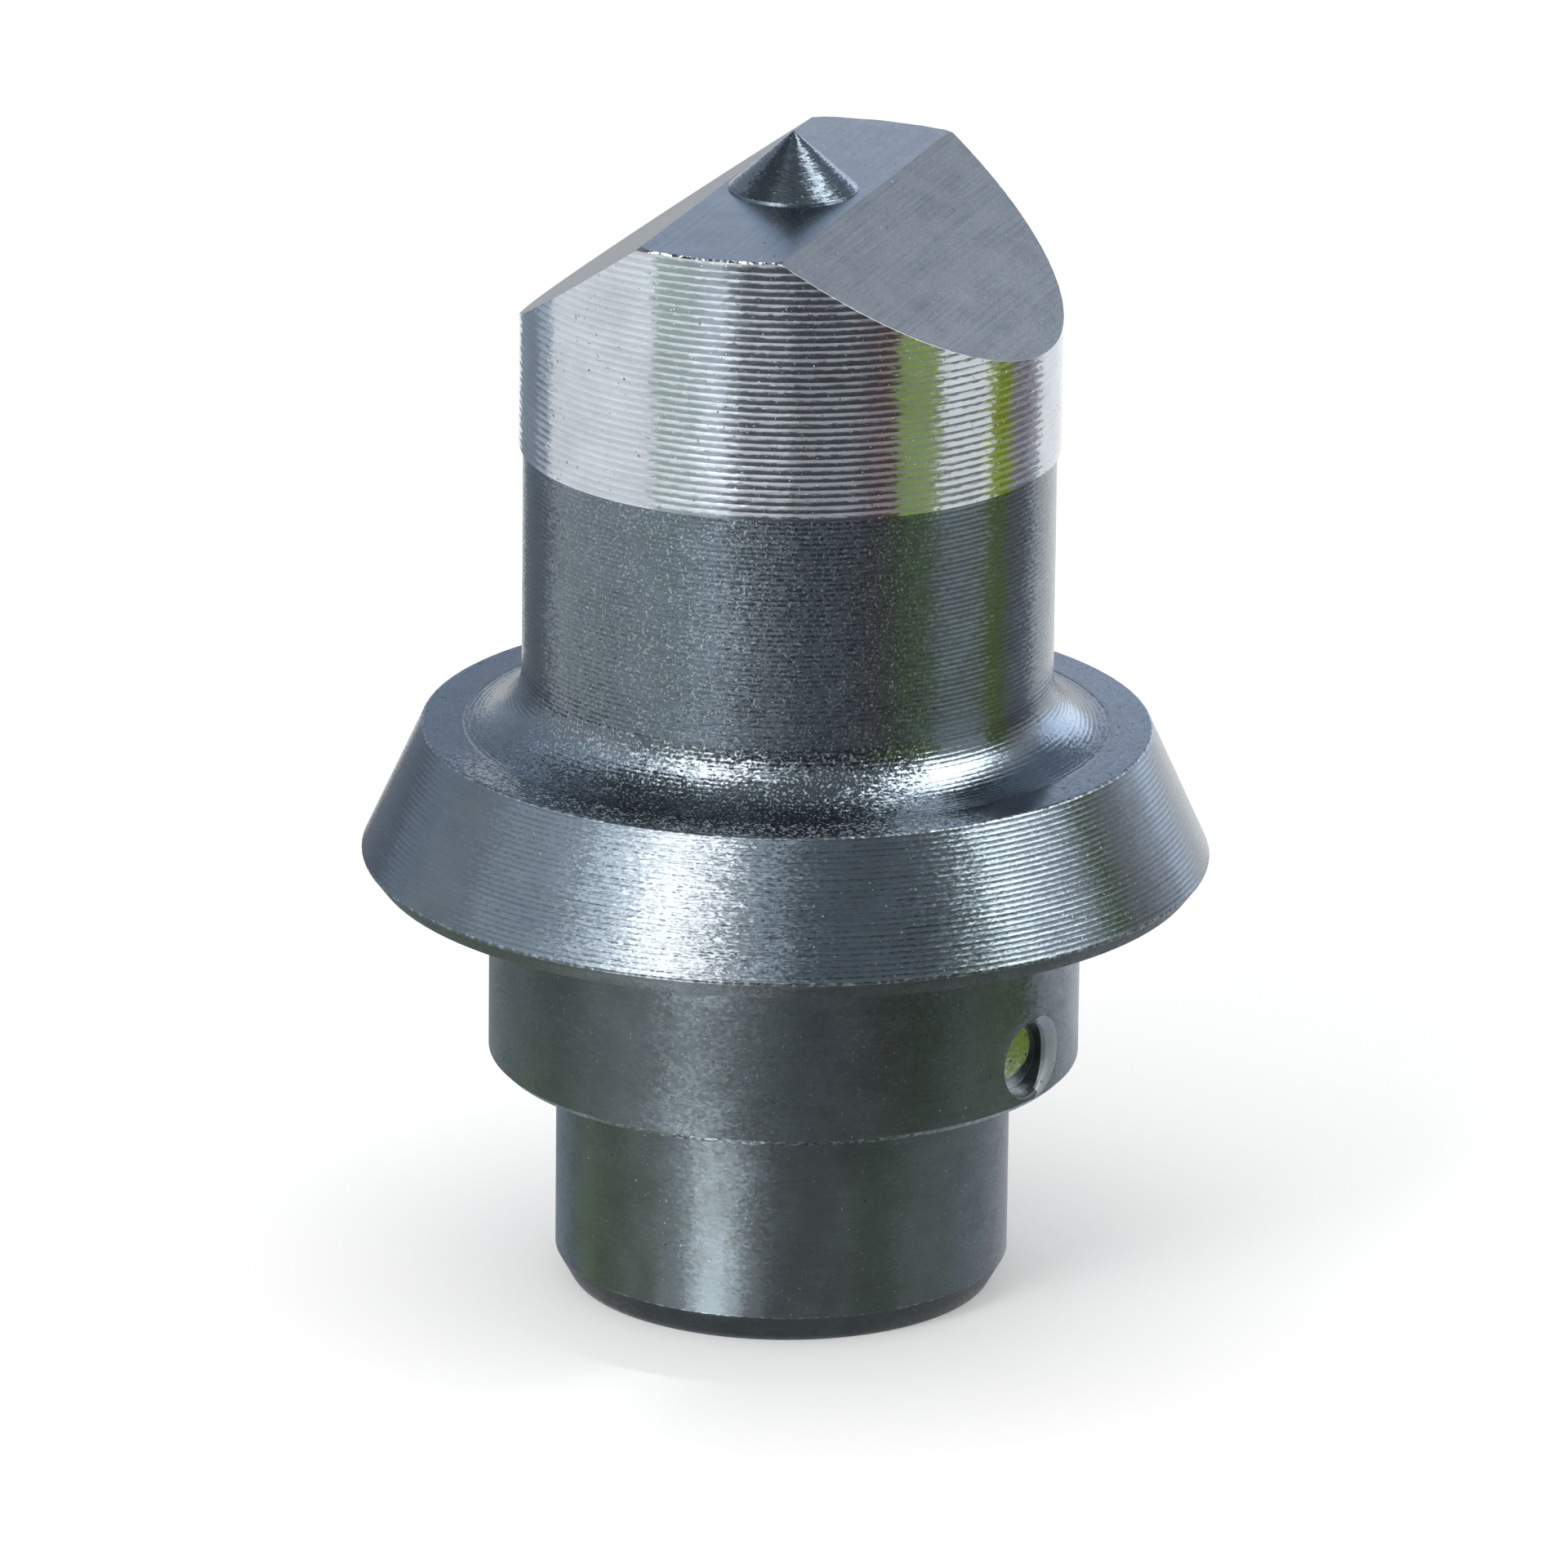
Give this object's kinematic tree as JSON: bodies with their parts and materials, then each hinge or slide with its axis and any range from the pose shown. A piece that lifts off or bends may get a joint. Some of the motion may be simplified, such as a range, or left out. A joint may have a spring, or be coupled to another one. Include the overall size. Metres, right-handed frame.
{
  "type": "piercing punch",
  "caption": "Round piercing punch with a roof-ground cutting end and small centre point, a plain neck, a conical collar, and a stepped shank with a locating hole in its side.",
  "frame": {"origin": "centre of the spigot's end face, which the punch stands on", "axes": "+Z along the punch's axis to the cutting end, +X out of the locating hole in the seat's side"},
  "size_m": [0.041, 0.041, 0.0575],
  "materials": {
    "tool_steel": "hardened tool steel, turned all over and ground on the cutting end, lightly oiled"
  },
  "bodies": {
    "root": {"punch_body": "tool_steel"}
  },
  "joints": []
}
